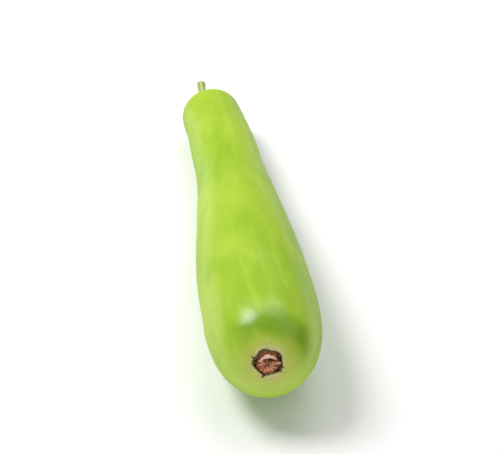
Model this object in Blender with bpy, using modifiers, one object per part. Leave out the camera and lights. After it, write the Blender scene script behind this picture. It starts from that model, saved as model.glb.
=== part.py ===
"""A bottle gourd lying on its side, as picked: the fruit, its stem and the dried flower scar.

Metres, +Z up. The fruit lies along Y with the blossom end towards -Y and the stem towards +Y,
and it rests on two flattened spots, one under the belly and one under the neck, at z = 0.
The middle of its bounding box is over the origin.
"""

import math

import bmesh
import bpy
from mathutils import Matrix, Vector

# The fruit along its centre line. Shares are of its length, from the blossom end.
FRUIT_LENGTH = 0.4075
BELLY_RADIUS = 0.0475
WAIST_RADIUS = 0.0312
NECK_RADIUS = 0.0290
BELLY_AT = 0.232
WAIST_AT = 0.765
NECK_AT = 0.960
BLOSSOM_BLUNTNESS = 3.2
NECK_BLUNTNESS = 2.4

# How far the centre line leaves a straight one
BELLY_BOW = 0.120
NECK_BOW = 0.235
WAIST_ARCH = 0.005
BLOSSOM_LIFT = 0.021
BLOSSOM_TURN = 0.014

GROUND_SPOT_DEPTH = 0.001
STATIONS = 58
SIDES_RESOLUTION = 22

# The stem, from its socket in the neck end to its cut end
STEM_LENGTH = 0.041
STEM_BASE_RADIUS = 0.0058
STEM_RADIUS = 0.0036
STEM_CUT_RADIUS = 0.0044
STEM_RIDGES = 5
STEM_RIDGE_HEIGHT = 0.13
STEM_BEND = (0.0045, 0.0, 0.0025)
STEM_STATIONS = 15
STEM_SOCKET_DEPTH = 0.0025

# The dried flower scar and the hollow that it fills
SCAR_RADIUS = 0.0112
SCAR_UNEVENNESS = 0.05
SCAR_PROUD = 0.0022
SCAR_SOCKET_DEPTH = 0.0016
SCAR_ROUNDING = 0.0006
SCAR_SIDES = 40

GAP = 0.0003


def blunt_end(share, bluntness):
    """Radius share of a rounded end, from 0 at its tip to 1 where it joins the side."""
    return max(0.0, 1.0 - (1.0 - share) ** bluntness) ** (1.0 / bluntness)


def swell(share):
    """A smooth rise from 0 to 1."""
    return (1.0 - math.cos(math.pi * share)) / 2.0


def fruit_radius(share):
    """Radius of the fruit at a share of its length."""
    if share <= BELLY_AT:
        return BELLY_RADIUS * blunt_end(share / BELLY_AT, BLOSSOM_BLUNTNESS)
    if share <= WAIST_AT:
        back = (WAIST_AT - share) / (WAIST_AT - BELLY_AT)
        return WAIST_RADIUS + (BELLY_RADIUS - WAIST_RADIUS) * swell(back)
    if share <= NECK_AT:
        on = (share - WAIST_AT) / (NECK_AT - WAIST_AT)
        return WAIST_RADIUS + (NECK_RADIUS - WAIST_RADIUS) * swell(on)
    return NECK_RADIUS * blunt_end((1.0 - share) / (1.0 - NECK_AT), NECK_BLUNTNESS)


def fruit_centre(share):
    """Point of the centre line at a share of the length.

    Between the belly and the neck the underside is level but for the waist's arch, and it lies
    the depth of the ground spots below z = 0, so that cutting it there flattens the spots.
    """
    resting = min(max(share, BELLY_AT), NECK_AT)
    between = (resting - BELLY_AT) / (NECK_AT - BELLY_AT)
    arch = WAIST_ARCH * math.sin(math.pi * between) ** 2
    bow = FRUIT_LENGTH * share * (1.0 - share) * (NECK_BOW * share - BELLY_BOW)
    to_blossom = max(0.0, 1.0 - share / BELLY_AT) ** 2
    height = fruit_radius(resting) - GROUND_SPOT_DEPTH + arch
    return Vector(
        (
            bow - BLOSSOM_TURN * to_blossom,
            FRUIT_LENGTH * (share - 0.5),
            height + BLOSSOM_LIFT * to_blossom,
        )
    )


def outward(share):
    """Direction of the centre line out of the nearer end of the fruit."""
    step = 0.0005
    if share < 0.5:
        return (fruit_centre(share) - fruit_centre(share + step)).normalized()
    return (fruit_centre(share) - fruit_centre(share - step)).normalized()


def frame_at(point, direction):
    """Matrix that stands +Z along a direction at a point."""
    return Matrix.Translation(point) @ direction.to_track_quat("Z", "Y").to_matrix().to_4x4()


def collection(name, scene):
    """A new collection in the scene."""
    made = bpy.data.collections.new(name)
    scene.collection.children.link(made)
    return made


def material(name, colour, roughness):
    """A plain Principled material."""
    made = bpy.data.materials.new(name)
    made.use_nodes = True
    shader = made.node_tree.nodes["Principled BSDF"]
    shader.inputs["Base Color"].default_value = (*colour, 1.0)
    shader.inputs["Roughness"].default_value = roughness
    shader.inputs["Metallic"].default_value = 0.0
    made.diffuse_color = (*colour, 1.0)
    return made


def tapered_tube(name, points, radii, into):
    """A closed mesh swept along points, with a radius at each of them.

    The curve's cross-section is a circle, or the outline in the curve's bevel object.
    """
    curve = bpy.data.curves.new(name, "CURVE")
    curve.dimensions = "3D"
    curve.use_fill_caps = True
    spline = curve.splines.new("POLY")
    spline.points.add(len(points) - 1)
    for place, point, radius in zip(spline.points, points, radii):
        place.co = (*point, 1.0)
        place.radius = radius
    made = bpy.data.objects.new(name, curve)
    into.objects.link(made)
    return made


def as_mesh(curve_object, into):
    """Turn a curve object into a mesh object with welded caps, and remove the curve."""
    name = curve_object.name
    graph = bpy.context.evaluated_depsgraph_get()
    mesh = bpy.data.meshes.new_from_object(curve_object.evaluated_get(graph))
    work = bmesh.new()
    work.from_mesh(mesh)
    bmesh.ops.remove_doubles(work, verts=work.verts, dist=1e-6)
    bmesh.ops.recalc_face_normals(work, faces=work.faces)
    work.to_mesh(mesh)
    work.free()
    place = curve_object.matrix_world.copy()
    bpy.data.objects.remove(curve_object)
    made = bpy.data.objects.new(name, mesh)
    made.matrix_world = place
    into.objects.link(made)
    return made


def shade_smooth(made):
    """Smooth shading on every face but the flat ends."""
    for face in made.data.polygons:
        face.use_smooth = len(face.vertices) <= 4


def cutter(name, mesh, place, into):
    """A helper object for a Boolean, shown as wire and left out of renders."""
    made = bpy.data.objects.new(name, mesh)
    made.matrix_world = place
    made.display_type = "WIRE"
    made.hide_render = True
    into.objects.link(made)
    return made


def round_cutter(name, radius, depth, place, into):
    """A cylinder that sinks to a depth below its place, and stands as far above it."""
    work = bmesh.new()
    bmesh.ops.create_cone(
        work,
        cap_ends=True,
        segments=48,
        radius1=radius,
        radius2=radius,
        depth=2.0 * depth,
    )
    mesh = bpy.data.meshes.new(name)
    work.to_mesh(mesh)
    work.free()
    return cutter(name, mesh, place, into)


def ground_cutter(into):
    """A slab whose top is the floor."""
    width, length, thickness = 0.2, 0.6, 0.02
    work = bmesh.new()
    bmesh.ops.create_cube(
        work, size=1.0, matrix=Matrix.Diagonal((width, length, thickness, 1.0))
    )
    mesh = bpy.data.meshes.new("ground_cutter")
    work.to_mesh(mesh)
    work.free()
    place = Matrix.Translation((0.0, 0.0, -thickness / 2.0))
    return cutter("ground_cutter", mesh, place, into)


def cut(made, helper):
    """Take the helper's volume out of an object."""
    modifier = made.modifiers.new(helper.name, "BOOLEAN")
    modifier.operation = "DIFFERENCE"
    modifier.solver = "EXACT"
    modifier.object = helper


def end_place(share):
    """Frame on the flat cap at one end of the fruit, with +Z out of it."""
    return frame_at(fruit_centre(share), outward(share))


def station_shares():
    """Shares of the length where the fruit has a ring, closer together towards its ends."""
    steps = STATIONS + 1
    return [swell(step / steps) for step in range(1, steps)]


def fruit(parts, cutters):
    """The fruit, with its two flattened spots and the hollows for the scar and the stem."""
    shares = station_shares()
    tube = tapered_tube(
        "gourd_fruit",
        [fruit_centre(share) for share in shares],
        [fruit_radius(share) for share in shares],
        parts,
    )
    tube.data.bevel_depth = 1.0
    tube.data.bevel_resolution = SIDES_RESOLUTION
    made = as_mesh(tube, parts)
    shade_smooth(made)
    made.data.materials.append(material("skin", (0.50, 0.72, 0.09), 0.38))
    cut(made, ground_cutter(cutters))
    scar_hollow = SCAR_RADIUS * (1.0 + SCAR_UNEVENNESS) + GAP
    cut(
        made,
        round_cutter(
            "scar_hollow", scar_hollow, SCAR_SOCKET_DEPTH, end_place(shares[0]), cutters
        ),
    )
    stem_socket = STEM_BASE_RADIUS * (1.0 + STEM_RIDGE_HEIGHT) + GAP
    cut(
        made,
        round_cutter(
            "stem_socket", stem_socket, STEM_SOCKET_DEPTH, end_place(shares[-1]), cutters
        ),
    )
    return made


def ridged_outline(into):
    """The stem's cross-section: a circle with five low ridges, of radius about 1."""
    sides = STEM_RIDGES * 8
    curve = bpy.data.curves.new("stem_outline", "CURVE")
    curve.dimensions = "2D"
    spline = curve.splines.new("POLY")
    spline.points.add(sides - 1)
    spline.use_cyclic_u = True
    for index, place in enumerate(spline.points):
        turn = 2.0 * math.pi * index / sides
        reach = 1.0 + STEM_RIDGE_HEIGHT * math.cos(STEM_RIDGES * turn)
        place.co = (reach * math.cos(turn), reach * math.sin(turn), 0.0, 1.0)
    made = bpy.data.objects.new("stem_outline", curve)
    made.display_type = "WIRE"
    made.hide_render = True
    into.objects.link(made)
    return made


def stem_radius(share):
    """Radius of the stem: flared at the fruit, thin in the middle, wider at the cut."""
    flare = (1.0 - share) ** 4
    to_cut = share**6
    return (
        STEM_RADIUS
        + (STEM_BASE_RADIUS - STEM_RADIUS) * flare
        + (STEM_CUT_RADIUS - STEM_RADIUS) * to_cut
    )


def stem(parts, cutters):
    """The stem, standing in its socket with a gap all round and bending a little."""
    end = end_place(station_shares()[-1])
    points = []
    radii = []
    for index in range(STEM_STATIONS):
        share = index / (STEM_STATIONS - 1)
        along = STEM_LENGTH * share - STEM_SOCKET_DEPTH + GAP
        points.append(end @ Vector((0.0, 0.0, along)) + Vector(STEM_BEND) * share**2)
        radii.append(stem_radius(share))
    tube = tapered_tube("stem", points, radii, parts)
    tube.data.bevel_mode = "OBJECT"
    tube.data.bevel_object = ridged_outline(cutters)
    made = as_mesh(tube, parts)
    shade_smooth(made)
    made.data.materials.append(material("stem_rind", (0.42, 0.52, 0.14), 0.6))
    return made


def scar_reach(turn):
    """Radius of the scar's uneven rim in a direction."""
    waves = math.sin(3.0 * turn + 0.6) + 0.6 * math.sin(7.0 * turn)
    return SCAR_RADIUS * (1.0 + SCAR_UNEVENNESS * waves / 1.6)


def scar(parts):
    """The dried flower scar: a low uneven disc in its hollow, sunk in the middle."""
    place = end_place(station_shares()[0])
    thickness = SCAR_SOCKET_DEPTH - GAP + SCAR_PROUD
    work = bmesh.new()
    bmesh.ops.create_cone(
        work,
        cap_ends=True,
        segments=SCAR_SIDES,
        radius1=1.0,
        radius2=1.0,
        depth=thickness,
        matrix=Matrix.Translation((0.0, 0.0, SCAR_PROUD - thickness / 2.0)),
    )
    for vert in work.verts:
        turn = math.atan2(vert.co.y, vert.co.x)
        vert.co.x *= scar_reach(turn)
        vert.co.y *= scar_reach(turn)
    top = [face for face in work.faces if face.normal.z > 0.9]
    bmesh.ops.inset_region(work, faces=top, thickness=0.3 * SCAR_RADIUS)
    bmesh.ops.translate(work, verts=top[0].verts, vec=(0.0, 0.0, -0.4 * SCAR_PROUD))
    mesh = bpy.data.meshes.new("blossom_scar")
    work.to_mesh(mesh)
    work.free()
    made = bpy.data.objects.new("blossom_scar", mesh)
    made.matrix_world = place
    parts.objects.link(made)
    rounding = made.modifiers.new("rounding", "BEVEL")
    rounding.width = SCAR_ROUNDING
    rounding.segments = 2
    made.data.materials.append(material("dry_tissue", (0.19, 0.075, 0.03), 0.8))
    return made


def centre_on_origin(made, helpers):
    """Move everything so that the middle of the bounding box is over the origin."""
    bpy.context.view_layer.update()
    graph = bpy.context.evaluated_depsgraph_get()
    corners = []
    for part in made:
        evaluated = part.evaluated_get(graph)
        corners += [evaluated.matrix_world @ vert.co for vert in evaluated.data.vertices]
    for axis in (0, 1):
        places = [corner[axis] for corner in corners]
        shift = -(min(places) + max(places)) / 2.0
        for moved in (*made, *helpers):
            moved.location[axis] += shift


def main():
    """Build the gourd in an empty scene."""
    for old in list(bpy.data.objects):
        bpy.data.objects.remove(old)
    parts = collection("bottle_gourd", bpy.context.scene)
    cutters = collection("cutters", bpy.context.scene)
    made = (fruit(parts, cutters), stem(parts, cutters), scar(parts))
    centre_on_origin(made, cutters.objects)


if __name__ == "__main__":
    main()
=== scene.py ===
"""The looks of a bottle gourd lying on its side: its skin, its stem and its dried flower scar.

Everything is in metres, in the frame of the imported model. The gourd lies along Y, with the
blossom end towards -Y and the stem towards +Y.
"""

from __future__ import annotations

import logging
import math
import random
from dataclasses import dataclass
from enum import Enum

import bmesh
import bpy
from mathutils import Matrix, Vector

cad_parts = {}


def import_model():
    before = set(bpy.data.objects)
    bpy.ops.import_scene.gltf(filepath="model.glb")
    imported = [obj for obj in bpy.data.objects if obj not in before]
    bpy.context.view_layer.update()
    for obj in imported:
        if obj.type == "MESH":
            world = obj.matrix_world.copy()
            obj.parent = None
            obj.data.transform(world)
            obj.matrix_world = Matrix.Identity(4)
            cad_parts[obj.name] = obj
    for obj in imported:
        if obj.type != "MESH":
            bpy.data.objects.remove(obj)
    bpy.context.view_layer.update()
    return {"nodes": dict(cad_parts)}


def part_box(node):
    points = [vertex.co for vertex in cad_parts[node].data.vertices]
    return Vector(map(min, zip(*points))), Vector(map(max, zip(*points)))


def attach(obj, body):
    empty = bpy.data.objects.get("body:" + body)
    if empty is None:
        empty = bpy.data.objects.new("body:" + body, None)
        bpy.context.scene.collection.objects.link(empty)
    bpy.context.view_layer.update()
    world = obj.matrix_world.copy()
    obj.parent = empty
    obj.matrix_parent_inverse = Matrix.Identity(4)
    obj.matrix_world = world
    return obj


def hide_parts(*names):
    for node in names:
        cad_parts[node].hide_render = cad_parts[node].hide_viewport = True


LOG = logging.getLogger("bottle_gourd")
MM = 0.001
CUT_TOLERANCE = 1e-6
ROUNDING_LEVELS = 2
BODY = "root"

Colour = tuple[float, float, float]


class Node(Enum):
    """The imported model's nodes that finer pieces stand for."""

    FRUIT = "gourd_fruit"
    STEM = "stem"
    SCAR = "blossom_scar"


class Slot(Enum):
    """Material slot names; nothing in this script uses them."""

    SKIN = "skin"
    STEM = "stem_rind"
    DRY = "dry_tissue"


def swell(share: float) -> float:
    """Rise smoothly from 0 to 1."""
    return (1.0 - math.cos(math.pi * share)) / 2.0


def blunt_end(share: float, bluntness: float) -> float:
    """Give the radius share of a rounded end, from 0 at its tip to 1 at its side."""
    return max(0.0, 1.0 - (1.0 - share) ** bluntness) ** (1.0 / bluntness)


def scar_outline(turn: float) -> float:
    """Give the reach of the scar's uneven edge in a direction, as a share of its radius."""
    squash = 1.0 / math.hypot(math.cos(turn), math.sin(turn) / 0.90)
    corners = math.cos(5.0 * (turn + math.radians(105.0)))
    small = math.cos(11.0 * turn + 1.0) + math.cos(17.0 * turn)
    return squash * (1.0 + 0.055 * corners + 0.014 * small)


def frame_at(point: Vector, direction: Vector) -> Matrix:
    """Stand a frame's +Z along a direction at a point, with +Y as near up as it goes."""
    turned = direction.to_track_quat("Z", "Y").to_matrix().to_4x4()
    return Matrix.Translation(point) @ turned


@dataclass(frozen=True)
class GourdForm:
    """The fruit's radius and centre line. Shares of its length start at the blossom end."""

    length: float = 0.4075
    belly_radius: float = 0.0475
    waist_radius: float = 0.0312
    neck_radius: float = 0.0290
    belly_at: float = 0.232
    waist_at: float = 0.765
    neck_at: float = 0.960
    blossom_bluntness: float = 3.2
    neck_bluntness: float = 2.4
    belly_bow: float = 0.120
    neck_bow: float = 0.235
    waist_arch: float = 0.005
    blossom_lift: float = 0.021
    blossom_turn: float = 0.014
    ground_depth: float = 0.001
    moved: tuple[float, float] = (0.0, 0.0)

    def radius(self, share: float) -> float:
        """Give the fruit's radius at a share of its length."""
        if share <= self.belly_at:
            return self.belly_radius * blunt_end(share / self.belly_at, self.blossom_bluntness)
        if share <= self.waist_at:
            back = (self.waist_at - share) / (self.waist_at - self.belly_at)
            return self.waist_radius + (self.belly_radius - self.waist_radius) * swell(back)
        if share <= self.neck_at:
            onward = (share - self.waist_at) / (self.neck_at - self.waist_at)
            return self.waist_radius + (self.neck_radius - self.waist_radius) * swell(onward)
        tip = (1.0 - share) / (1.0 - self.neck_at)
        return self.neck_radius * blunt_end(tip, self.neck_bluntness)

    def centre(self, share: float) -> Vector:
        """Give the point of the centre line at a share of the length."""
        resting = min(max(share, self.belly_at), self.neck_at)
        between = (resting - self.belly_at) / (self.neck_at - self.belly_at)
        arch = self.waist_arch * math.sin(math.pi * between) ** 2
        bend = self.neck_bow * share - self.belly_bow
        bow = self.length * share * (1.0 - share) * bend
        to_blossom = max(0.0, 1.0 - share / self.belly_at) ** 2
        return Vector(
            (
                bow - self.blossom_turn * to_blossom + self.moved[0],
                self.length * (share - 0.5) + self.moved[1],
                self.radius(resting) - self.ground_depth + arch + self.blossom_lift * to_blossom,
            )
        )

    def heading(self, share: float) -> Vector:
        """Give the centre line's direction towards the stem."""
        step = 0.0005
        low, high = max(0.0, share - step), min(1.0, share + step)
        return (self.centre(high) - self.centre(low)).normalized()

    def place(self, share: float) -> Matrix:
        """Give the frame of a ring, with +Z towards the stem."""
        return frame_at(self.centre(share), self.heading(share))

    def blossom_end(self) -> Matrix:
        """Give the frame at the blossom end, with +Z out of the fruit and +Y up."""
        return frame_at(self.centre(0.0), -self.heading(0.0))

    def neck_end(self) -> Matrix:
        """Give the frame at the neck end, with +Z out of the fruit and +Y up."""
        return frame_at(self.centre(1.0), self.heading(1.0))

    def middle(self, axis: int) -> float:
        """Give the middle of the form's extent along an axis.

        Args:
            axis: 0 for X, 1 for Y.

        Returns:
            The coordinate half way between its lowest and its highest point.
        """
        lows, highs = [], []
        for step in range(1, 200):
            share = swell(step / 200)
            reach = self.radius(share) * math.sqrt(1.0 - self.heading(share)[axis] ** 2)
            lows.append(self.centre(share)[axis] - reach)
            highs.append(self.centre(share)[axis] + reach)
        return (min(lows) + max(highs)) / 2.0


def form_in_frame() -> GourdForm:
    """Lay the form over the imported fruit.

    Returns:
        The form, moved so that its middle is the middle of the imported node's box.
    """
    low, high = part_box(Node.FRUIT.value)
    loose = GourdForm()
    moved = tuple((low[axis] + high[axis]) / 2.0 - loose.middle(axis) for axis in (0, 1))
    return GourdForm(moved=moved)


def deselect_all() -> None:
    """Leave edit mode and drop the selection."""
    if bpy.context.object and bpy.context.object.mode != "OBJECT":
        bpy.ops.object.mode_set(mode="OBJECT")
    bpy.ops.object.select_all(action="DESELECT")


def make_active(piece: bpy.types.Object) -> None:
    """Select one piece alone."""
    deselect_all()
    piece.select_set(True)
    bpy.context.view_layer.objects.active = piece


def apply_place(piece: bpy.types.Object) -> None:
    """Put a piece's place into its mesh, so that its object sits unturned at the origin."""
    make_active(piece)
    bpy.ops.object.transform_apply(location=True, rotation=True, scale=True)


def subdivide(piece: bpy.types.Object, levels: int) -> None:
    """Round a piece off with an applied Subdivision Surface."""
    make_active(piece)
    rounding = piece.modifiers.new("rounding", "SUBSURF")
    rounding.levels = levels
    rounding.render_levels = levels
    bpy.ops.object.modifier_apply(modifier=rounding.name)


def roughen(piece: bpy.types.Object, kind: str, size: float, depth: float) -> None:
    """Swell and dent a piece's surface with an applied Displace.

    Args:
        piece: The piece, which must be fine enough for the dents.
        kind: The procedural texture's type.
        size: The size of a dent.
        depth: The height from the deepest dent to the highest swelling.
    """
    make_active(piece)
    texture = bpy.data.textures.new(f"{piece.name}_{kind.lower()}", kind)
    texture.noise_scale = size
    bumps = piece.modifiers.new("bumps", "DISPLACE")
    bumps.texture = texture
    bumps.texture_coords = "LOCAL"
    bumps.strength = depth
    bumps.mid_level = 0.5
    bpy.ops.object.modifier_apply(modifier=bumps.name)


def join(name: str, members: list[bpy.types.Object]) -> bpy.types.Object:
    """Join several meshes into one piece.

    Args:
        name: The joined piece's name.
        members: The meshes to join.

    Returns:
        The joined piece.
    """
    deselect_all()
    for member in members:
        member.select_set(True)
    bpy.context.view_layer.objects.active = members[0]
    bpy.ops.object.join()
    piece = bpy.context.object
    piece.name = name
    return piece


def copy_to(model: bpy.types.Object, place: Matrix) -> bpy.types.Object:
    """Copy a model to a place, with a mesh of its own.

    Args:
        model: The piece to copy, modelled about the origin.
        place: Where the copy goes.

    Returns:
        The copy, with its place in its mesh.
    """
    twin = model.copy()
    twin.data = model.data.copy()
    bpy.context.collection.objects.link(twin)
    twin.matrix_world = place
    apply_place(twin)
    return twin


def finish_piece(
    piece: bpy.types.Object, material: bpy.types.Material, node: Node
) -> bpy.types.Object:
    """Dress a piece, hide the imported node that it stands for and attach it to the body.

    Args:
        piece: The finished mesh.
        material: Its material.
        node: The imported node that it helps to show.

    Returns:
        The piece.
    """
    make_active(piece)
    bpy.ops.object.shade_smooth()
    piece.data.materials.clear()
    piece.data.materials.append(material)
    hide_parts(node.value)
    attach(piece, BODY)
    LOG.info("%s: %d faces", piece.name, len(piece.data.polygons))
    return piece


class Loft:
    """A closed form modelled ring by ring: each circle is added and bridged to the last one."""

    def __init__(self, name: str, sides: int) -> None:
        """Start an empty mesh in edit mode.

        Args:
            name: The piece's name.
            sides: How many corners each ring has.
        """
        deselect_all()
        bpy.ops.mesh.primitive_circle_add(vertices=3, radius=MM)
        self.piece = bpy.context.object
        self.piece.name = name
        self.sides = sides
        self.rings = 0
        bpy.ops.object.mode_set(mode="EDIT")
        bpy.ops.mesh.delete(type="VERT")

    def corners(self) -> bmesh.types.BMVertSeq:
        """Give the edited mesh's corners, in the order in which they were made.

        Returns:
            The corners. The newest ring comes last.
        """
        self.work = bmesh.from_edit_mesh(self.piece.data)
        self.work.verts.ensure_lookup_table()
        return self.work.verts

    def select(self, chosen: list[bmesh.types.BMVert]) -> None:
        """Select only the given corners."""
        for corner in self.work.verts:
            corner.select = False
        self.work.select_flush(False)
        for corner in chosen:
            corner.select = True
        self.work.select_flush(True)
        bmesh.update_edit_mesh(self.piece.data)

    def ring(self, place: Matrix, radius: float) -> None:
        """Add a ring and bridge it to the last one.

        Args:
            place: The ring's frame, with +Z along the loft.
            radius: Its radius.
        """
        bpy.ops.mesh.select_all(action="DESELECT")
        bpy.ops.mesh.primitive_circle_add(
            vertices=self.sides,
            radius=radius,
            location=place.translation,
            rotation=place.to_euler(),
        )
        self.rings += 1
        if self.rings > 1:
            self.select(self.corners()[-2 * self.sides :])
            bpy.ops.mesh.bridge_edge_loops()

    def scale_last(self, place: Matrix, reaches: list[float]) -> None:
        """Move each corner of the last ring in or out.

        Args:
            place: The ring's frame.
            reaches: Each corner's distance from the centre, as a share of its radius. Corners
                with the same reach are scaled together.
        """
        for reach in sorted(set(reaches)):
            last = self.corners()[-self.sides :]
            self.select([last[at] for at in range(self.sides) if reaches[at] == reach])
            bpy.ops.transform.resize(value=(reach,) * 3, center_override=place.translation)

    def close(self) -> None:
        """Close both ends with a fan and point every face outwards.

        The last ring goes first, because a fan's middle is added after the newest ring.
        """
        for ring in (slice(-self.sides, None), slice(0, self.sides)):
            self.select(self.corners()[ring])
            bpy.ops.mesh.edge_face_add()
            bpy.ops.mesh.poke()
            self.corners()
        bpy.ops.mesh.select_all(action="SELECT")
        bpy.ops.mesh.normals_make_consistent(inside=False)

    def press(self, line: list[Vector], depth: float, width: float) -> None:
        """Press a soft groove into the surface.

        Args:
            line: Points along the groove. The nearest corner to each is pressed.
            depth: How deep the groove is. A negative depth raises a ridge.
            width: How far the groove reaches to each side.
        """
        corners = self.corners()
        chosen = [min(corners, key=lambda corner: (corner.co - point).length) for point in line]
        self.select(chosen)
        bpy.ops.transform.shrink_fatten(
            value=-depth,
            use_proportional_edit=True,
            proportional_edit_falloff="SMOOTH",
            proportional_size=width,
        )

    def done(self) -> bpy.types.Object:
        """Leave edit mode with the piece's place in its mesh.

        Returns:
            The piece.
        """
        apply_place(self.piece)
        return self.piece


class Graph:
    """A material's nodes, with short calls for what the finishes share."""

    def __init__(self, name: str) -> None:
        """Start a material with one Principled shader."""
        self.material = bpy.data.materials.new(name)
        self.material.use_nodes = True
        self.tree = self.material.node_tree
        self.shader = self.tree.nodes["Principled BSDF"]
        self.object_coordinates = self.add("ShaderNodeTexCoord").outputs["Object"]

    def add(self, kind: str, **settings: object) -> bpy.types.Node:
        """Add a node with its settings."""
        node = self.tree.nodes.new(kind)
        for setting, value in settings.items():
            setattr(node, setting, value)
        return node

    def feed(self, socket: bpy.types.NodeSocket, value: object) -> None:
        """Link an output to a socket, or set a constant on it."""
        if isinstance(value, bpy.types.NodeSocket):
            self.tree.links.new(value, socket)
        elif isinstance(value, tuple) and len(value) == 3 and socket.type == "RGBA":
            socket.default_value = (*value, 1.0)
        else:
            socket.default_value = value

    def constant(self, **values: object) -> None:
        """Set the shader's own sockets, named with underscores for spaces."""
        for name, value in values.items():
            socket = self.shader.inputs[name.replace("_", " ").title().replace("Ior", "IOR")]
            self.feed(socket, value)

    def local(self, place: Matrix) -> bpy.types.NodeSocket:
        """Give coordinates in the frame of an end of the fruit."""
        mapping = self.add("ShaderNodeMapping", vector_type="TEXTURE")
        self.feed(mapping.inputs["Vector"], self.object_coordinates)
        mapping.inputs["Location"].default_value = place.translation
        mapping.inputs["Rotation"].default_value = place.to_euler()
        return mapping.outputs["Vector"]

    def stretched(self, vector: bpy.types.NodeSocket, scale: Colour) -> bpy.types.NodeSocket:
        """Give coordinates scaled along each axis."""
        mapping = self.add("ShaderNodeMapping")
        self.feed(mapping.inputs["Vector"], vector)
        mapping.inputs["Scale"].default_value = scale
        return mapping.outputs["Vector"]

    def split(self, vector: bpy.types.NodeSocket) -> list[bpy.types.NodeSocket]:
        """Give a vector's X, Y and Z."""
        node = self.add("ShaderNodeSeparateXYZ")
        self.feed(node.inputs[0], vector)
        return list(node.outputs)

    def maths(self, operation: str, first: object, second: object = 0.0) -> bpy.types.NodeSocket:
        """Work out one value from one or two."""
        node = self.add("ShaderNodeMath", operation=operation)
        self.feed(node.inputs[0], first)
        self.feed(node.inputs[1], second)
        return node.outputs[0]

    def band(
        self, value: object, start: float, end: float, most: float = 1.0
    ) -> bpy.types.NodeSocket:
        """Rise smoothly from 0 at start to most at end, or fall where start is the larger."""
        node = self.add("ShaderNodeMapRange", interpolation_type="SMOOTHSTEP")
        low, high = min(start, end), max(start, end)
        self.feed(node.inputs["Value"], value)
        node.inputs["From Min"].default_value = low
        node.inputs["From Max"].default_value = high
        node.inputs["To Min"].default_value = 0.0 if start < end else most
        node.inputs["To Max"].default_value = most if start < end else 0.0
        return node.outputs["Result"]

    def nudged(
        self, value: object, noise: bpy.types.NodeSocket, reach: float
    ) -> bpy.types.NodeSocket:
        """Shift a value up and down by a noise, by half of reach each way."""
        return self.maths(
            "ADD", value, self.maths("MULTIPLY", self.maths("SUBTRACT", noise, 0.5), reach)
        )

    def rough(self, noise: bpy.types.NodeSocket, spread: float, least: float) -> None:
        """Make the shader's roughness vary with a noise, upwards from the least."""
        varied = self.maths("ADD", self.maths("MULTIPLY", noise, spread), least)
        self.feed(self.shader.inputs["Roughness"], varied)

    def noise(
        self, vector: bpy.types.NodeSocket, size: float, detail: float = 2.0, warp: float = 0.0
    ) -> bpy.types.NodeSocket:
        """Give cloudy noise whose patches have a size in metres."""
        node = self.add("ShaderNodeTexNoise")
        self.feed(node.inputs["Vector"], vector)
        node.inputs["Scale"].default_value = 1.0 / size
        node.inputs["Detail"].default_value = detail
        node.inputs["Distortion"].default_value = warp
        return node.outputs["Fac"]

    def cells(self, vector: bpy.types.NodeSocket, size: float) -> bpy.types.NodeSocket:
        """Give the distance to the nearest of scattered points, in cell sizes."""
        node = self.add("ShaderNodeTexVoronoi")
        self.feed(node.inputs["Vector"], vector)
        node.inputs["Scale"].default_value = 1.0 / size
        return node.outputs["Distance"]

    def mix(self, share: object, first: object, second: object) -> bpy.types.NodeSocket:
        """Mix two colours by a share."""
        node = self.add("ShaderNodeMix", data_type="RGBA")
        self.feed(node.inputs["Factor"], share)
        self.feed(node.inputs[6], first)
        self.feed(node.inputs[7], second)
        return node.outputs[2]

    def rays(
        self, vector: bpy.types.NodeSocket, count: float, drift: float
    ) -> bpy.types.NodeSocket:
        """Give streaks that run out from the Z axis of local coordinates.

        Args:
            vector: Coordinates in the frame of an end.
            count: How fine the streaks are, in noise cells to a radian.
            drift: How fast a streak changes on its way out, in noise cells to a metre.

        Returns:
            The streaks' strength, from 0 to 1.
        """
        across = self.split(vector)
        flat = self.add("ShaderNodeCombineXYZ")
        self.feed(flat.inputs[0], across[0])
        self.feed(flat.inputs[1], across[1])
        unit = self.add("ShaderNodeVectorMath", operation="NORMALIZE")
        self.feed(unit.inputs[0], flat.outputs[0])
        reach = self.add("ShaderNodeVectorMath", operation="LENGTH")
        self.feed(reach.inputs[0], flat.outputs[0])
        ring = self.split(unit.outputs[0])
        spot = self.add("ShaderNodeCombineXYZ")
        self.feed(spot.inputs[0], self.maths("MULTIPLY", ring[0], count))
        self.feed(spot.inputs[1], self.maths("MULTIPLY", ring[1], count))
        self.feed(spot.inputs[2], self.maths("MULTIPLY", reach.outputs["Value"], drift))
        return self.noise(spot.outputs[0], 1.0, 3.0)

    def distance(self, vector: bpy.types.NodeSocket) -> bpy.types.NodeSocket:
        """Give the distance from the origin of some coordinates."""
        node = self.add("ShaderNodeVectorMath", operation="LENGTH")
        self.feed(node.inputs[0], vector)
        return node.outputs["Value"]

    def bump(self, height: object, depth: float, under: object = None) -> bpy.types.NodeSocket:
        """Give a normal bumped by a height from 0 to 1, on top of another normal."""
        node = self.add("ShaderNodeBump")
        node.inputs["Strength"].default_value = 1.0
        node.inputs["Distance"].default_value = depth
        self.feed(node.inputs["Height"], height)
        if under is not None:
            self.feed(node.inputs["Normal"], under)
        return node.outputs["Normal"]


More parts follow.
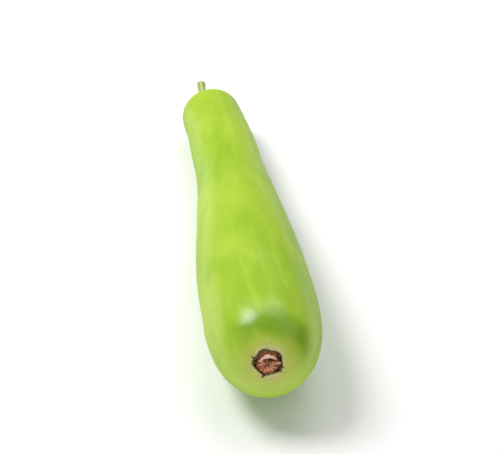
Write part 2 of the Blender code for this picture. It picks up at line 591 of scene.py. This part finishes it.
@dataclass(frozen=True)
class SkinFinish:
    """Waxy lime green gourd skin, paler round the blossom scar and darker round the stem, with
    partly painted shade low on the sides and on the upper shoulder, and painted shade in the
    scar's hollow.
    """

    form: GourdForm
    lime: Colour = (0.43, 0.62, 0.048)
    leaf: Colour = (0.30, 0.515, 0.020)
    pale: Colour = (0.50, 0.67, 0.070)
    blossom: Colour = (0.49, 0.57, 0.085)
    # Dark green of the band on the upper shoulder: partly the skin's own green, partly painted
    # shade.
    shoulder: Colour = (0.165, 0.33, 0.004)
    # Painted shade: the dark brown painted down the wall of the hollow round the scar.
    torn: Colour = (0.085, 0.050, 0.018)
    # Darker green low on the sides: partly the skin's own green, partly painted shade.
    flank_shade: Colour = (0.20, 0.40, 0.004)
    straw: Colour = (0.50, 0.46, 0.130)
    olive: Colour = (0.17, 0.24, 0.025)

    def build(self) -> bpy.types.Material:
        """Build the material.

        Returns:
            The skin's material.
        """
        graph = Graph("gourd_skin")
        spot = graph.object_coordinates
        streaked = graph.stretched(spot, (1.0, 0.10, 1.0))
        clouds = graph.noise(graph.stretched(spot, (1.0, 0.45, 1.0)), 38 * MM, 4.0, 0.4)
        rings = graph.noise(graph.stretched(spot, (0.15, 1.0, 0.15)), 7 * MM, 3.0, 0.4)
        streaks = graph.noise(streaked, 9 * MM, 3.0, 0.3)
        mottle = graph.noise(spot, 7 * MM, 4.0, 0.5)
        colour = graph.mix(graph.band(clouds, 0.32, 0.68), self.leaf, self.lime)
        colour = graph.mix(graph.band(streaks, 0.45, 0.80, 0.45), colour, self.pale)
        colour = graph.mix(graph.band(mottle, 0.50, 0.72, 0.30), colour, self.leaf)
        colour = graph.mix(graph.band(rings, 0.50, 0.75, 0.35), colour, self.leaf)
        grain = graph.cells(spot, 1.3 * MM)
        colour = graph.mix(graph.band(grain, 0.42, 0.10, 0.40), colour, self.pale)
        # Partly painted shade, partly the skin's own green: the skin turns darker and greener
        # towards the floor.
        flank_shade = graph.band(graph.split(spot)[2], 52 * MM, 18 * MM)
        colour = graph.mix(graph.maths("MULTIPLY", flank_shade, 0.55), colour, self.flank_shade)
        colour = self.blossom_zone(graph, colour)
        colour = self.stem_zone(graph, colour)
        graph.feed(graph.shader.inputs["Base Color"], colour)
        wax = graph.noise(spot, 25 * MM, 4.0)
        graph.rough(wax, 0.16, 0.30)
        glancing = graph.add("ShaderNodeLayerWeight").outputs["Facing"]
        graph.feed(
            graph.shader.inputs["Coat Weight"],
            graph.band(glancing, 0.88, 0.35, 0.9),
        )
        fine = graph.noise(spot, 0.9 * MM, 3.0)
        soft = graph.noise(streaked, 5 * MM, 3.0)
        normal = graph.bump(soft, 0.25 * MM)
        normal = graph.bump(fine, 0.06 * MM, normal)
        graph.feed(graph.shader.inputs["Normal"], normal)
        graph.constant(
            subsurface_weight=0.12,
            subsurface_radius=(1.0, 0.9, 0.25),
            subsurface_scale=3 * MM,
            specular_ior_level=0.05,
            coat_roughness=0.30,
            coat_ior=1.48,
        )
        return graph.material

    def blossom_zone(self, graph: Graph, colour: object) -> bpy.types.NodeSocket:
        """Pale the skin round the scar, with rays, a straw-coloured edge and tiny specks; darken
        the upper shoulder with partly painted shade and paint shade into the scar's hollow.

        Args:
            graph: The material's nodes.
            colour: The skin's colour so far.

        Returns:
            The colour with the blossom end's marks.
        """
        near = graph.local(self.form.blossom_end())
        away = graph.distance(near)
        rays = graph.rays(near, 7.0, 30.0)
        ragged = graph.nudged(away, rays, 16 * MM)
        colour = graph.mix(graph.band(ragged, 38 * MM, 10 * MM, 0.9), colour, self.blossom)
        # The shoulder band: darker green on the upper side of the bulb near the scar, partly the
        # skin's own green and partly painted shade.
        drifting = graph.maths(
            "ADD", away, graph.maths("MULTIPLY", graph.noise(near, 30 * MM, 3.0), 24 * MM)
        )
        shoulder = graph.maths(
            "MULTIPLY",
            graph.band(drifting, 26 * MM, 42 * MM),
            graph.band(drifting, 58 * MM, 42 * MM),
        )
        across = graph.split(near)
        above = graph.band(
            graph.maths("ADD", across[1], graph.maths("MULTIPLY", across[0], 0.35)),
            -4 * MM,
            26 * MM,
        )
        colour = graph.mix(
            graph.maths("MULTIPLY", graph.maths("MULTIPLY", shoulder, above), 0.9),
            colour,
            self.shoulder,
        )
        patches = graph.noise(near, 4 * MM, 4.0, 0.8)
        edge = graph.nudged(away, patches, 16 * MM)
        colour = graph.mix(graph.band(edge, 19 * MM, 12 * MM, 0.75), colour, self.straw)
        # Painted shade: where the hollow round the scar lies deep, its wall is painted the dark
        # brown of the torn edge.
        sunk = graph.maths(
            "MULTIPLY",
            graph.band(across[2], -0.6 * MM, -1.3 * MM),
            graph.band(away, 13.2 * MM, 12.2 * MM),
        )
        colour = graph.mix(sunk, colour, self.torn)
        specks = graph.band(graph.cells(near, 1.1 * MM), 0.30, 0.12)
        speck_zone = graph.band(away, 27 * MM, 15 * MM)
        return graph.mix(
            graph.maths("MULTIPLY", graph.maths("MULTIPLY", specks, speck_zone), 0.45),
            colour,
            self.olive,
        )

    def stem_zone(self, graph: Graph, colour: object) -> bpy.types.NodeSocket:
        """Darken the skin in the folds round the stem, with pale lines between them.

        Args:
            graph: The material's nodes.
            colour: The skin's colour so far.

        Returns:
            The colour with the neck end's marks.
        """
        near = graph.local(self.form.neck_end())
        away = graph.distance(near)
        rays = graph.rays(near, 4.0, 25.0)
        colour = graph.mix(
            graph.maths(
                "MULTIPLY", graph.band(away, 30 * MM, 10 * MM), graph.band(rays, 0.55, 0.35)
            ),
            colour,
            self.leaf,
        )
        return graph.mix(graph.band(away, 13 * MM, 7 * MM, 0.7), colour, self.olive)


@dataclass(frozen=True)
class StemFinish:
    """Green fibrous stem rind: pale on the ridges, olive in the grooves, with fine lines."""

    place: Matrix
    ridge: Colour = (0.56, 0.65, 0.23)
    groove: Colour = (0.25, 0.34, 0.07)
    cork: Colour = (0.36, 0.30, 0.14)

    def build(self) -> bpy.types.Material:
        """Build the material.

        Returns:
            The stem's material.
        """
        graph = Graph("stem_rind")
        near = graph.local(self.place)
        fibres = graph.noise(graph.stretched(near, (1.0, 1.0, 0.05)), 0.7 * MM, 3.0)
        blotch = graph.noise(near, 4 * MM, 4.0, 0.5)
        sunk = graph.add("ShaderNodeAttribute", attribute_name="sunk").outputs["Fac"]
        colour = graph.mix(graph.band(sunk, 0.25, 0.85), self.ridge, self.groove)
        colour = graph.mix(graph.band(fibres, 0.45, 0.70), colour, self.groove)
        colour = graph.mix(graph.band(blotch, 0.55, 0.72, 0.6), colour, self.cork)
        graph.feed(graph.shader.inputs["Base Color"], colour)
        graph.rough(blotch, 0.25, 0.42)
        normal = graph.bump(fibres, 0.12 * MM)
        graph.feed(graph.shader.inputs["Normal"], normal)
        graph.constant(sheen_weight=0.25, sheen_roughness=0.5, subsurface_weight=0.05)
        return graph.material


@dataclass(frozen=True)
class DryFinish:
    """Dried plant tissue, darker where it is sunk and paler where it stands proud: partly the
    tissue's own colour, partly painted shade in its hollows.
    """

    name: str
    place: Matrix
    # deep: the colour of sunk parts and dark wrinkles; in the sunk parts it is partly painted
    # shade.
    deep: Colour
    body: Colour
    high: Colour
    low_at: float
    high_at: float
    grain: float = 1.2 * MM

    def build(self) -> bpy.types.Material:
        """Build the material.

        Returns:
            The tissue's material.
        """
        graph = Graph(self.name)
        near = graph.local(self.place)
        height = graph.split(near)[2]
        wrinkles = graph.noise(near, self.grain, 4.0, 1.0)
        patches = graph.noise(near, 4.0 * self.grain, 3.0, 0.6)
        # Partly painted shade: the lower the tissue lies, the nearer its colour comes to the deep
        # colour.
        shade_height = graph.nudged(height, wrinkles, MM)
        colour = graph.mix(graph.band(shade_height, self.low_at, self.high_at), self.deep, self.body)
        colour = graph.mix(graph.band(patches, 0.52, 0.70), colour, self.high)
        colour = graph.mix(graph.band(wrinkles, 0.50, 0.30, 0.75), colour, self.deep)
        graph.feed(graph.shader.inputs["Base Color"], colour)
        graph.rough(patches, 0.3, 0.5)
        fine = graph.noise(near, 0.35 * MM, 3.0)
        normal = graph.bump(wrinkles, 0.5 * MM)
        normal = graph.bump(fine, 0.12 * MM, normal)
        graph.feed(graph.shader.inputs["Normal"], normal)
        return graph.material


@dataclass(frozen=True)
class Fold:
    """A groove in the neck end, from beside the stem out over the shoulder."""

    turn: float
    depth: float
    width: float
    start: float
    end: float
    swerve: float = 0.0


@dataclass
class Fruit:
    """The fruit's skin, with the hollow round the scar and the folds round the stem."""

    form: GourdForm
    sides: int = 64
    stations: int = 60
    hollow: tuple[tuple[float, float], ...] = (
        (2.0, -3.2),
        (7.0, -3.1),
        (9.6, -2.7),
        (10.4, -1.9),
        (10.8, -1.0),
        (11.3, -0.35),
        (12.4, -0.15),
        (14.2, -0.50),
    )
    socket: tuple[tuple[float, float], ...] = (
        (8.8, -0.6),
        (7.7, -1.2),
        (6.7, -2.0),
        (6.0, -2.9),
        (2.0, -3.1),
    )
    blossom_from: float = 16 * MM
    neck_to: float = 9.8 * MM
    folds: tuple[Fold, ...] = (
        Fold(88, 4.4, 5.5, 7, 27),
        Fold(205, 4.6, 6.5, 7, 22),
        Fold(142, 2.8, 5.0, 7, 19),
        Fold(322, 4.8, 5.0, 7, 36, 26),
        Fold(266, 3.6, 6.0, 7, 24, -10),
        Fold(20, 3.4, 5.0, 7, 24, 12),
    )
    press_shares: tuple[tuple[float, float], ...] = ((1.0, 0.35), (0.62, 0.35), (0.30, 0.30))
    uneven_to: float = 14.2
    uneven_fade: float = 2.0
    dent_size: float = 70 * MM
    dents: float = 2.2 * MM
    ripple_size: float = 16 * MM
    ripples: float = 0.45 * MM

    def surface_point(self, turn: float, away: float) -> Vector:
        """Give a point near the neck end's surface.

        Args:
            turn: The direction from the stem, in degrees from the end frame's X.
            away: The distance from the stem's axis along the surface, in millimetres.

        Returns:
            The point.
        """
        form = self.form
        dome = form.length * (1.0 - form.neck_at)
        down = max(0.0, away * MM - form.neck_radius * 0.80)
        share = 1.0 - down / form.length - 0.0012
        radius = min(away * MM, form.radius(share))
        if down == 0.0:
            rise = 1.0 - (1.0 - min(1.0, away * MM / form.neck_radius) ** form.neck_bluntness) ** (
                1.0 / form.neck_bluntness
            )
            share = 1.0 - rise * dome / form.length
        heading = math.radians(turn)
        local = Vector((radius * math.cos(heading), radius * math.sin(heading), 0.0))
        return form.place(share) @ local

    def fold_line(self, fold: Fold, upto: float) -> list[Vector]:
        """Give points along a fold.

        Args:
            fold: The fold.
            upto: The share of its length to follow.

        Returns:
            Points along it, about a millimetre and a half apart.
        """
        reach = (fold.end - fold.start) * upto
        count = max(2, round(reach / 1.5))
        line = []
        for step in range(count + 1):
            share = step / count
            turn = fold.turn + fold.swerve * (share * upto) ** 1.5
            line.append(self.surface_point(turn, fold.start + reach * share))
        return line

    def build(self) -> bpy.types.Object:
        """Model the skin and dress it.

        Returns:
            The skin.
        """
        form = self.form
        loft = Loft("fruit_skin", self.sides)
        end = form.place(0.0)
        mouth = form.blossom_end().to_3x3().inverted()
        for radius, out in self.hollow:
            place = end @ Matrix.Translation((0.0, 0.0, -out * MM))
            loft.ring(place, radius * MM)
            share = min(1.0, max(0.0, (self.uneven_to - radius) / self.uneven_fade))
            last = loft.corners()[-self.sides :]
            spots = [mouth @ (corner.co - place.translation) for corner in last]
            turns = [math.atan2(spot.y, spot.x) for spot in spots]
            loft.scale_last(
                place, [round(1.0 + share * (scar_outline(turn) - 1.0), 3) for turn in turns]
            )
        for step in range(1, self.stations):
            share = swell(step / self.stations)
            limit = self.blossom_from if share < 0.5 else self.neck_to
            if form.radius(share) > limit:
                loft.ring(form.place(share), form.radius(share))
        end = form.place(1.0)
        for radius, out in self.socket:
            loft.ring(end @ Matrix.Translation((0.0, 0.0, out * MM)), radius * MM)
        loft.close()
        for fold in self.folds:
            for upto, share in self.press_shares:
                loft.press(self.fold_line(fold, upto), fold.depth * MM * share, fold.width * MM)
        skin = loft.done()
        subdivide(skin, ROUNDING_LEVELS)
        roughen(skin, "CLOUDS", self.dent_size, self.dents)
        roughen(skin, "CLOUDS", self.ripple_size, self.ripples)
        self.rest_on_floor(skin)
        return finish_piece(skin, SkinFinish(form).build(), Node.FRUIT)

    def rest_on_floor(self, skin: bpy.types.Object) -> None:
        """Flatten the skin where it lies on the floor."""
        make_active(skin)
        bpy.ops.object.mode_set(mode="EDIT")
        bpy.ops.mesh.select_all(action="SELECT")
        bpy.ops.mesh.bisect(
            plane_co=(0.0, 0.0, 0.0),
            plane_no=(0.0, 0.0, 1.0),
            use_fill=True,
            clear_inner=True,
            threshold=CUT_TOLERANCE,
        )
        bpy.ops.object.mode_set(mode="OBJECT")


@dataclass
class Stem:
    """The stem: a ridged rind with a flared foot, and the pith in its cut end."""

    form: GourdForm
    length: float = 0.041
    sunk: float = 0.0022
    foot_radius: float = 0.0078
    radius: float = 0.0037
    cut_radius: float = 0.0043
    bend: Colour = (0.0045, 0.0, 0.0025)
    ridges: int = 5
    sides: int = 40
    stations: int = 22
    cut_rings: tuple[tuple[float, float], ...] = ((0.90, 0.15), (0.78, 0.0), (0.72, -0.7))
    pith_rings: tuple[tuple[float, float], ...] = (
        (0.3, -0.9),
        (0.68, -0.9),
        (0.72, -0.5),
        (0.66, -0.25),
        (0.3, -0.45),
        (0.1, -0.7),
    )

    def spine(self, share: float) -> Matrix:
        """Give the frame of a ring of the stem at a share of its length."""
        end = self.form.neck_end()

        def point(at: float) -> Vector:
            """Give a point of the stem's middle line."""
            straight = end @ Vector((0.0, 0.0, self.length * at - self.sunk))
            return straight + Vector(self.bend) * at**2

        heading = point(share + 0.01) - point(share - 0.01)
        return frame_at(point(share), heading)

    def girth(self, share: float) -> float:
        """Give the stem's radius at a share of its length."""
        foot = (self.foot_radius - self.radius) * (1.0 - share) ** 5
        return self.radius + foot + (self.cut_radius - self.radius) * share**6

    def reaches(self, share: float) -> list[float]:
        """Give each corner's reach in a ring, which makes the ridges."""
        height = 0.13 + 0.05 * (1.0 - share) ** 2
        turns = [2.0 * math.pi * at / self.sides for at in range(self.sides)]
        return [
            round(1.0 + height * (abs(math.cos(self.ridges * turn / 2.0)) - 0.6) * 1.6, 4)
            for turn in turns
        ]

    def build(self) -> list[bpy.types.Object]:
        """Model the rind and the pith and dress them.

        Returns:
            The stem's pieces.
        """
        loft = Loft("stem_rind", self.sides)
        for step in range(self.stations):
            share = step / (self.stations - 1)
            place = self.spine(share)
            loft.ring(place, self.girth(share))
            loft.scale_last(place, self.reaches(share))
        tip = self.spine(1.0)
        for shrink, out in self.cut_rings:
            place = tip @ Matrix.Translation((0.0, 0.0, out * MM))
            loft.ring(place, self.cut_radius * shrink)
            loft.scale_last(place, self.reaches(1.0))
        loft.close()
        rind = loft.done()
        self.mark_grooves(rind)
        subdivide(rind, ROUNDING_LEVELS)
        roughen(rind, "CLOUDS", 3 * MM, 0.5 * MM)
        finish_piece(rind, StemFinish(self.form.neck_end()).build(), Node.STEM)
        return [rind, self.pith(tip)]

    def mark_grooves(self, rind: bpy.types.Object) -> None:
        """Store how far each corner is sunk between the ridges, for the finish to read."""
        marks = rind.data.attributes.new("sunk", "FLOAT", "POINT")
        for at in range(len(rind.data.vertices)):
            turn = 2.0 * math.pi * (at % self.sides) / self.sides
            marks.data[at].value = 1.0 - abs(math.cos(self.ridges * turn / 2.0))

    def pith(self, tip: Matrix) -> bpy.types.Object:
        """Model the dry pith that shows in the cut.

        Args:
            tip: The frame at the stem's cut end.

        Returns:
            The pith.
        """
        loft = Loft("stem_cut_face", self.sides)
        for shrink, out in self.pith_rings:
            place = tip @ Matrix.Translation((0.0, 0.0, out * MM))
            loft.ring(place, self.cut_radius * shrink)
            loft.scale_last(place, self.reaches(1.0))
        loft.close()
        pith = loft.done()
        subdivide(pith, ROUNDING_LEVELS)
        roughen(pith, "CLOUDS", 0.9 * MM, 0.35 * MM)
        finish = DryFinish(
            "stem_pith",
            tip,
            deep=(0.10, 0.07, 0.03),
            body=(0.36, 0.29, 0.16),
            high=(0.50, 0.44, 0.27),
            low_at=-0.9 * MM,
            high_at=-0.3 * MM,
            grain=0.6 * MM,
        )
        return finish_piece(pith, finish.build(), Node.STEM)


@dataclass
class Scar:
    """The dried flower scar: crumpled tissue in the hollow, with a curled lip and a torn edge."""

    form: GourdForm
    sides: int = 48
    bed: tuple[tuple[float, float], ...] = (
        (3.0, -3.0),
        (8.3, -3.0),
        (10.2, -2.7),
        (10.6, -1.9),
        (9.8, -1.1),
        (8.4, -0.4),
        (6.8, 0.1),
        (5.2, 0.2),
        (3.6, -0.2),
        (2.2, -0.7),
        (1.0, -1.0),
    )
    folds: int = 15
    shards: int = 38
    spikes: tuple[tuple[int, float], ...] = ((18, 3.6), (19, 2.6), (27, 3.0), (35, 3.4), (36, 2.6))
    seed: int = 11

    def __post_init__(self) -> None:
        """Keep the end's frame and a seeded source of small differences."""
        self.place = self.form.blossom_end()
        self.chance = random.Random(self.seed)

    def at(self, radius: float, turn: float, out: float) -> Matrix:
        """Give a frame in the scar.

        Args:
            radius: The distance from the scar's middle, in millimetres.
            turn: The direction from its middle, in degrees from its right.
            out: The height out of the fruit, in millimetres.

        Returns:
            The frame, with +X away from the middle and +Z out of the fruit.
        """
        spin = Matrix.Rotation(math.radians(turn), 4, "Z")
        return self.place @ spin @ Matrix.Translation((radius * MM, 0.0, out * MM))

    def tissue(self, name: str, deep: Colour, body: Colour, high: Colour) -> bpy.types.Material:
        """Build a finish for a part of the scar."""
        # Below the lower height the tissue takes its deep colour, partly painted shade in the
        # scar's hollow.
        finish = DryFinish(name, self.place, deep, body, high, -2.2 * MM, 0.6 * MM)
        return finish.build()

    def build(self) -> list[bpy.types.Object]:
        """Model the scar's parts and dress them.

        Returns:
            The scar's pieces.
        """
        return [self.build_bed(), self.build_lip(), self.build_folds(), self.build_shards()]

    def build_bed(self) -> bpy.types.Object:
        """Model the crumpled bed of the scar.

        Returns:
            The bed.
        """
        loft = Loft("scar_bed", self.sides)
        for radius, out in self.bed:
            place = self.place @ Matrix.Translation((0.0, 0.0, out * MM))
            loft.ring(place, radius * MM)
            turns = [2.0 * math.pi * at / self.sides for at in range(self.sides)]
            ragged = [scar_outline(turn) * self.chance.uniform(0.93, 1.04) for turn in turns]
            loft.scale_last(place, [round(reach, 3) for reach in ragged])
        loft.close()
        for turn in range(0, 360, 24):
            near = self.at(3.0, turn + self.chance.uniform(-6, 6), 0.2)
            far = self.at(9.5, turn + self.chance.uniform(-6, 6), 0.0)
            line = [near.translation.lerp(far.translation, step / 6) for step in range(7)]
            loft.press(line, self.chance.uniform(0.4, 1.1) * MM, 1.3 * MM)
        slit = [self.at(abs(x) * 0.55 + 2.6, 90 - 22 * x, 0.0).translation for x in range(-2, 3)]
        loft.press(slit, 1.6 * MM, 2.0 * MM)
        bed = loft.done()
        subdivide(bed, ROUNDING_LEVELS)
        roughen(bed, "CLOUDS", 2.4 * MM, 1.8 * MM)
        roughen(bed, "STUCCI", 0.8 * MM, 0.4 * MM)
        material = self.tissue(
            "scar_tissue", (0.110, 0.024, 0.010), (0.50, 0.170, 0.075), (0.66, 0.36, 0.160)
        )
        return finish_piece(bed, material, Node.SCAR)

    def build_lip(self) -> bpy.types.Object:
        """Model the pale lip that curls over the upper part of the bed.

        Returns:
            The lip.
        """
        loft = Loft("scar_lip", 16)
        steps = 16
        for step in range(steps + 1):
            share = step / steps
            turn = 172 - 150 * share
            bulge = math.sin(math.pi * share)
            wobble = self.chance.uniform(-0.35, 0.35)
            reach = 6.0 - 0.9 * bulge + 1.0 * share
            centre = self.at(reach + wobble, turn, 0.2 + 0.9 * bulge + wobble)
            ahead = self.at(reach, turn - 5, 0.2 + 0.9 * bulge)
            place = frame_at(centre.translation, ahead.translation - centre.translation)
            thick = (0.4 + 1.1 * bulge**0.6) * MM * self.chance.uniform(0.75, 1.25)
            loft.ring(place, thick)
            flat = [round(1.25 - 0.55 * abs(math.cos(math.pi * at / 8.0)), 3) for at in range(16)]
            loft.scale_last(place, flat)
        loft.close()
        lip = loft.done()
        subdivide(lip, ROUNDING_LEVELS)
        roughen(lip, "CLOUDS", 1.8 * MM, 1.1 * MM)
        material = self.tissue(
            "scar_lip_skin", (0.34, 0.120, 0.070), (0.76, 0.44, 0.32), (0.84, 0.60, 0.46)
        )
        return finish_piece(lip, material, Node.SCAR)

    def flake(self, name: str) -> bpy.types.Object:
        """Model one curled strip of dry tissue, lying along X from the origin.

        Args:
            name: The strip's name.

        Returns:
            A strip one millimetre long, to be scaled and copied.
        """
        loft = Loft(name, 8)
        for share, wide, rise in (
            (0.0, 0.10, 0.00),
            (0.2, 0.17, 0.10),
            (0.45, 0.20, 0.20),
            (0.7, 0.15, 0.16),
            (0.9, 0.08, 0.02),
            (1.0, 0.03, -0.08),
        ):
            place = frame_at(Vector((share * MM, 0.0, rise * MM)), Vector((1.0, 0.0, 0.0)))
            loft.ring(place, wide * MM)
        loft.close()
        strip = loft.done()
        subdivide(strip, 1)
        return strip

    def build_folds(self) -> bpy.types.Object:
        """Model the crumpled folds that run from the slit down to the lower edge.

        Returns:
            The folds, as one piece.
        """
        model = self.flake("fold_model")
        members = []
        for index in range(self.folds):
            turn = 172 + 196 * index / (self.folds - 1) + self.chance.uniform(-7, 7)
            reach = self.chance.uniform(4.6, 8.2) * scar_outline(math.radians(turn))
            place = self.at(self.chance.uniform(1.2, 3.2), turn, -0.5)
            tilt = Matrix.Rotation(math.radians(self.chance.uniform(-4, 10)), 4, "Y")
            size = Matrix.Diagonal((reach, self.chance.uniform(4.0, 6.5), 6.0, 1.0))
            members.append(copy_to(model, place @ tilt @ size))
        bpy.data.objects.remove(model)
        folds = join("scar_folds", members)
        roughen(folds, "CLOUDS", 1.6 * MM, 1.5 * MM)
        material = self.tissue(
            "scar_fold_skin", (0.200, 0.052, 0.026), (0.62, 0.240, 0.115), (0.76, 0.47, 0.250)
        )
        return finish_piece(folds, material, Node.SCAR)

    def build_shards(self) -> bpy.types.Object:
        """Model the torn dark edge, with a few longer spikes that lie on the skin. The dark shards
        crowd the upper and left side, where they partly stand in for the shade under the skin's
        rim.

        Returns:
            The shards, as one piece.
        """
        model = self.flake("shard_model")
        spikes = dict(self.spikes)
        members = []
        for index in range(self.shards):
            turn = 360.0 * index / self.shards + self.chance.uniform(-5, 5)
            # Few shards on the lower side: the dark shards on the upper and left side are partly
            # painted shade under the rim.
            lower_side = 15 <= (turn + 155) % 360 <= 175
            if lower_side and index not in spikes and index % 3:
                continue
            reach = spikes.get(index, self.chance.uniform(0.9, 2.2))
            place = self.at(9.7 * scar_outline(math.radians(turn)), turn, -0.9 + 0.12 * reach)
            lean = Matrix.Rotation(math.radians(self.chance.uniform(-14, 4)), 4, "Y")
            skew = Matrix.Rotation(math.radians(self.chance.uniform(-50, 50)), 4, "Z")
            size = Matrix.Diagonal((1.3 * reach, self.chance.uniform(3.0, 7.0), 2.4, 1.0))
            members.append(copy_to(model, place @ lean @ skew @ size))
        bpy.data.objects.remove(model)
        shards = join("scar_torn_edge_and_rim_shade", members)
        roughen(shards, "CLOUDS", 1.4 * MM, 0.7 * MM)
        material = self.tissue(
            "scar_edge_skin", (0.034, 0.016, 0.005), (0.130, 0.065, 0.020), (0.30, 0.17, 0.06)
        )
        return finish_piece(shards, material, Node.SCAR)


@dataclass
class Studio:
    """A white floor, soft lights and the camera."""

    form: GourdForm
    look_at: tuple[float, float, float] = (0.0069, -0.0047, 0.040)
    azimuth: float = -9.9
    elevation: float = 38.7
    distance: float = 1.3145
    lens: float = 108.0
    floor_size: float = 12.0
    light_distance: float = 2.0

    def build(self) -> None:
        """Set up the floor, the world, the lights and the camera."""
        self.floor()
        self.world()
        self.softbox("key_light", 152.0, 57.0, 31.0, 0.90)
        self.softbox("back_left_light", 112.0, 66.0, 3.0, 1.2)
        self.softbox("back_right_light", 50.0, 62.0, 12.0, 1.2)
        self.softbox("front_right_light", 335.0, 50.0, 4.5, 1.2)
        self.softbox("low_left_light", 200.0, 33.0, 1.0, 0.9)
        self.softbox("low_front_light", 264.0, 8.0, 13.0, 0.9)
        self.camera()

    def floor(self) -> None:
        """Lay a plain white floor."""
        deselect_all()
        bpy.ops.mesh.primitive_plane_add(size=self.floor_size, location=(0.0, 0.0, 0.0))
        floor = bpy.context.object
        floor.name = "floor"
        graph = Graph("floor_white")
        graph.constant(base_color=(0.92, 0.92, 0.92), roughness=0.8)
        graph.constant(emission_color=(1.0, 1.0, 1.0), emission_strength=0.06)
        floor.data.materials.append(graph.material)

    def world(self) -> None:
        """Surround the scene with even pale light."""
        world = bpy.data.worlds.new("studio")
        world.use_nodes = True
        background = world.node_tree.nodes["Background"]
        background.inputs["Color"].default_value = (1.0, 1.0, 1.0, 1.0)
        background.inputs["Strength"].default_value = 0.12
        bpy.context.scene.world = world

    def softbox(
        self, name: str, bearing: float, height: float, power: float, size: float
    ) -> None:
        """Aim a square area light at the gourd.

        Args:
            name: The light's name.
            bearing: Its direction seen from above, in degrees from +X towards +Y.
            height: Its height above the floor, in degrees.
            power: Its power in watts.
            size: The length of its sides.
        """
        turn, rise = math.radians(bearing), math.radians(height)
        place = self.light_distance * Vector(
            (math.cos(turn) * math.cos(rise), math.sin(turn) * math.cos(rise), math.sin(rise))
        )
        bpy.ops.object.light_add(type="AREA", location=place)
        lamp = bpy.context.object
        lamp.name = name
        lamp.data.shape = "SQUARE"
        lamp.data.size = size
        lamp.data.energy = power
        aim = Vector((0.0, 0.0, 0.04)) - place
        lamp.rotation_euler = aim.to_track_quat("-Z", "Y").to_euler()

    def camera(self) -> None:
        """Stand the camera in front of the blossom end, looking down on the gourd."""
        turn = math.radians(self.azimuth)
        rise = math.radians(self.elevation)
        back = Vector(
            (
                math.sin(turn) * math.cos(rise),
                -math.cos(turn) * math.cos(rise),
                math.sin(rise),
            )
        )
        target = Vector(self.look_at) + Vector((*self.form.moved, 0.0))
        bpy.ops.object.camera_add(location=target + back * self.distance)
        camera = bpy.context.object
        camera.rotation_euler = (-back).to_track_quat("-Z", "Y").to_euler()
        camera.data.lens = self.lens
        camera.data.clip_end = 50.0
        bpy.context.scene.camera = camera
        bpy.context.scene.view_settings.view_transform = "Standard"


def main() -> None:
    """Build the gourd on its frame, then the studio round it."""
    logging.basicConfig(level=logging.INFO, format="%(message)s")
    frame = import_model()
    LOG.info("packed nodes: %d", len(frame["nodes"]))
    form = form_in_frame()
    Studio(form).build()
    Fruit(form).build()
    Stem(form).build()
    Scar(form).build()


if __name__ == "__main__":
    main()
